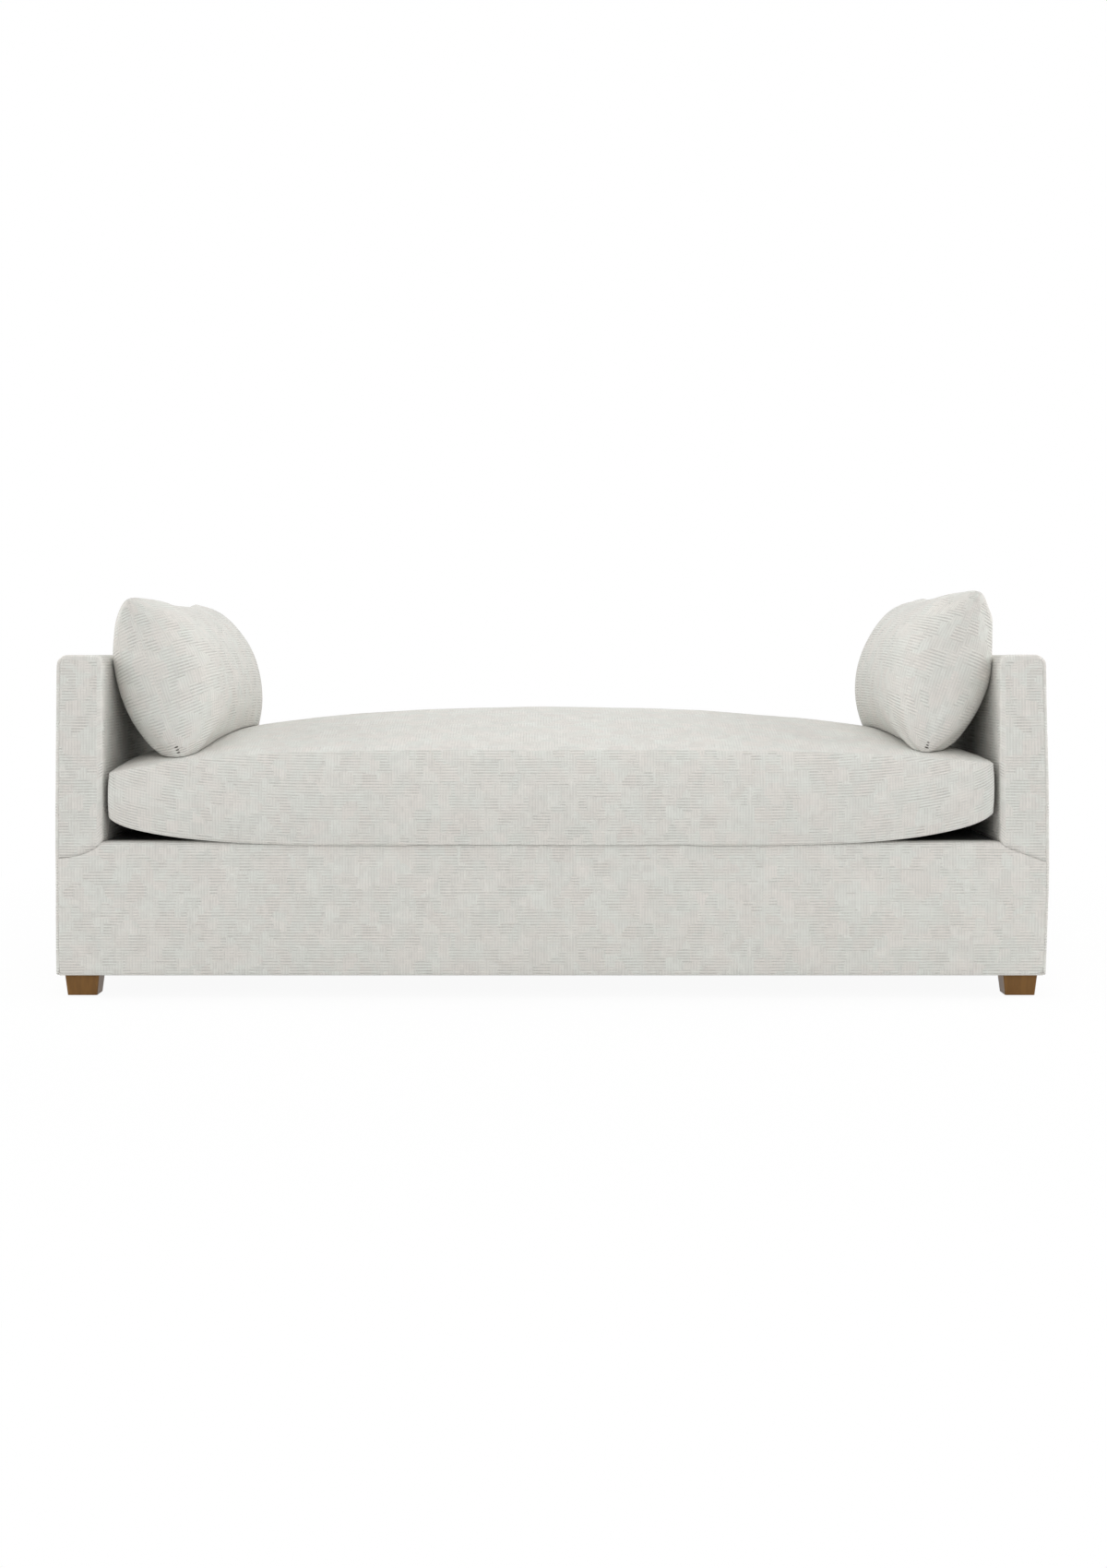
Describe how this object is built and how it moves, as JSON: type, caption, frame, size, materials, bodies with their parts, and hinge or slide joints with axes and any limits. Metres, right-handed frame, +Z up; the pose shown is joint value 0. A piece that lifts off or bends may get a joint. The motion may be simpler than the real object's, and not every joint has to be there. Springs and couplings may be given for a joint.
{
  "type": "upholstered daybed",
  "caption": "Backless upholstered daybed with end arms, a low rail, a loose crowned bench cushion, loose pillows against the arms and short tapered wooden feet.",
  "frame": {"origin": "on the floor, under the middle of the daybed", "axes": "+X along the length, to the right as seen from the front; -Y to the front; +Z up"},
  "size_m": [2.134, 0.9902, 0.871],
  "materials": {
    "upholstery": "ribbed weave, pale ivory grey",
    "deck_cloth": "dark decking cloth",
    "dust_cloth": "black non-woven cloth",
    "wadding": "polyester wadding",
    "foam": "flexible foam with a wadding wrap",
    "feather_fill": "feather and fibre",
    "webbing": "woven elastic",
    "zip_tape": "woven tape",
    "zip_coil": "nylon coil",
    "zip_metal": "enamelled zinc",
    "frame_timber": "planed, unfinished",
    "hardboard": "smooth one side",
    "foot_wood": "stained brown, satin lacquer",
    "steel": "zinc plated",
    "glide_plastic": "moulded"
  },
  "bodies": {
    "base": {"corner_blocks": "frame_timber", "crosswise_webbing": "webbing", "deck_cloth": "deck_cloth", "deck_pad": "wadding", "dowels": "frame_timber", "dust_cover": "dust_cloth", "foot_bolts": "steel", "foot_glides": "glide_plastic", "front_left_foot": "foot_wood", "front_rail": "frame_timber", "front_rail_cover": "upholstery", "front_rail_pad": "wadding", "front_right_foot": "foot_wood", "left_arm_cover": "upholstery", "left_arm_pad": "wadding", "left_arm_top_rail": "frame_timber", "left_bottom_end_rail": "frame_timber", "left_cross_rail": "frame_timber", "left_front_post": "frame_timber", "left_outside_board": "hardboard", "left_outside_cover": "upholstery", "left_rear_post": "frame_timber", "left_seat_end_rail": "frame_timber", "lengthwise_webbing": "webbing", "rear_left_foot": "foot_wood", "rear_rail": "frame_timber", "rear_rail_cover": "upholstery", "rear_rail_pad": "wadding", "rear_right_foot": "foot_wood", "right_arm_cover": "upholstery", "right_arm_pad": "wadding", "right_arm_top_rail": "frame_timber", "right_bottom_end_rail": "frame_timber", "right_cross_rail": "frame_timber", "right_front_post": "frame_timber", "right_outside_board": "hardboard", "right_outside_cover": "upholstery", "right_rear_post": "frame_timber", "right_seat_end_rail": "frame_timber", "tee_nuts": "steel"},
    "seat_cushion": {"seat_cushion_cover": "upholstery", "seat_cushion_core": "foam", "seat_zip_tape": "zip_tape", "seat_zip_chain": "zip_coil"},
    "seat_zip_slider": {"seat_zip_slider": "zip_metal"},
    "left_pillow": {"left_pillow_cover": "upholstery", "left_pillow_fill": "feather_fill"},
    "right_pillow": {"right_pillow_cover": "upholstery", "right_pillow_fill": "feather_fill"}
  },
  "joints": [
    {"name": "seat_cushion_lift", "type": "slide", "parent": "base", "child": "seat_cushion", "axis": [0, 0, 1], "range_m": [0, 0.45]},
    {"name": "left_pillow_lift", "type": "slide", "parent": "seat_cushion", "child": "left_pillow", "axis": [0, 0, 1], "range_m": [0, 0.35]},
    {"name": "right_pillow_lift", "type": "slide", "parent": "seat_cushion", "child": "right_pillow", "axis": [0, 0, 1], "range_m": [0, 0.35]},
    {"name": "seat_zip_slide", "type": "slide", "parent": "seat_cushion", "child": "seat_zip_slider", "axis": [-1, 0, 0], "range_m": [0, 1.372]}
  ]
}
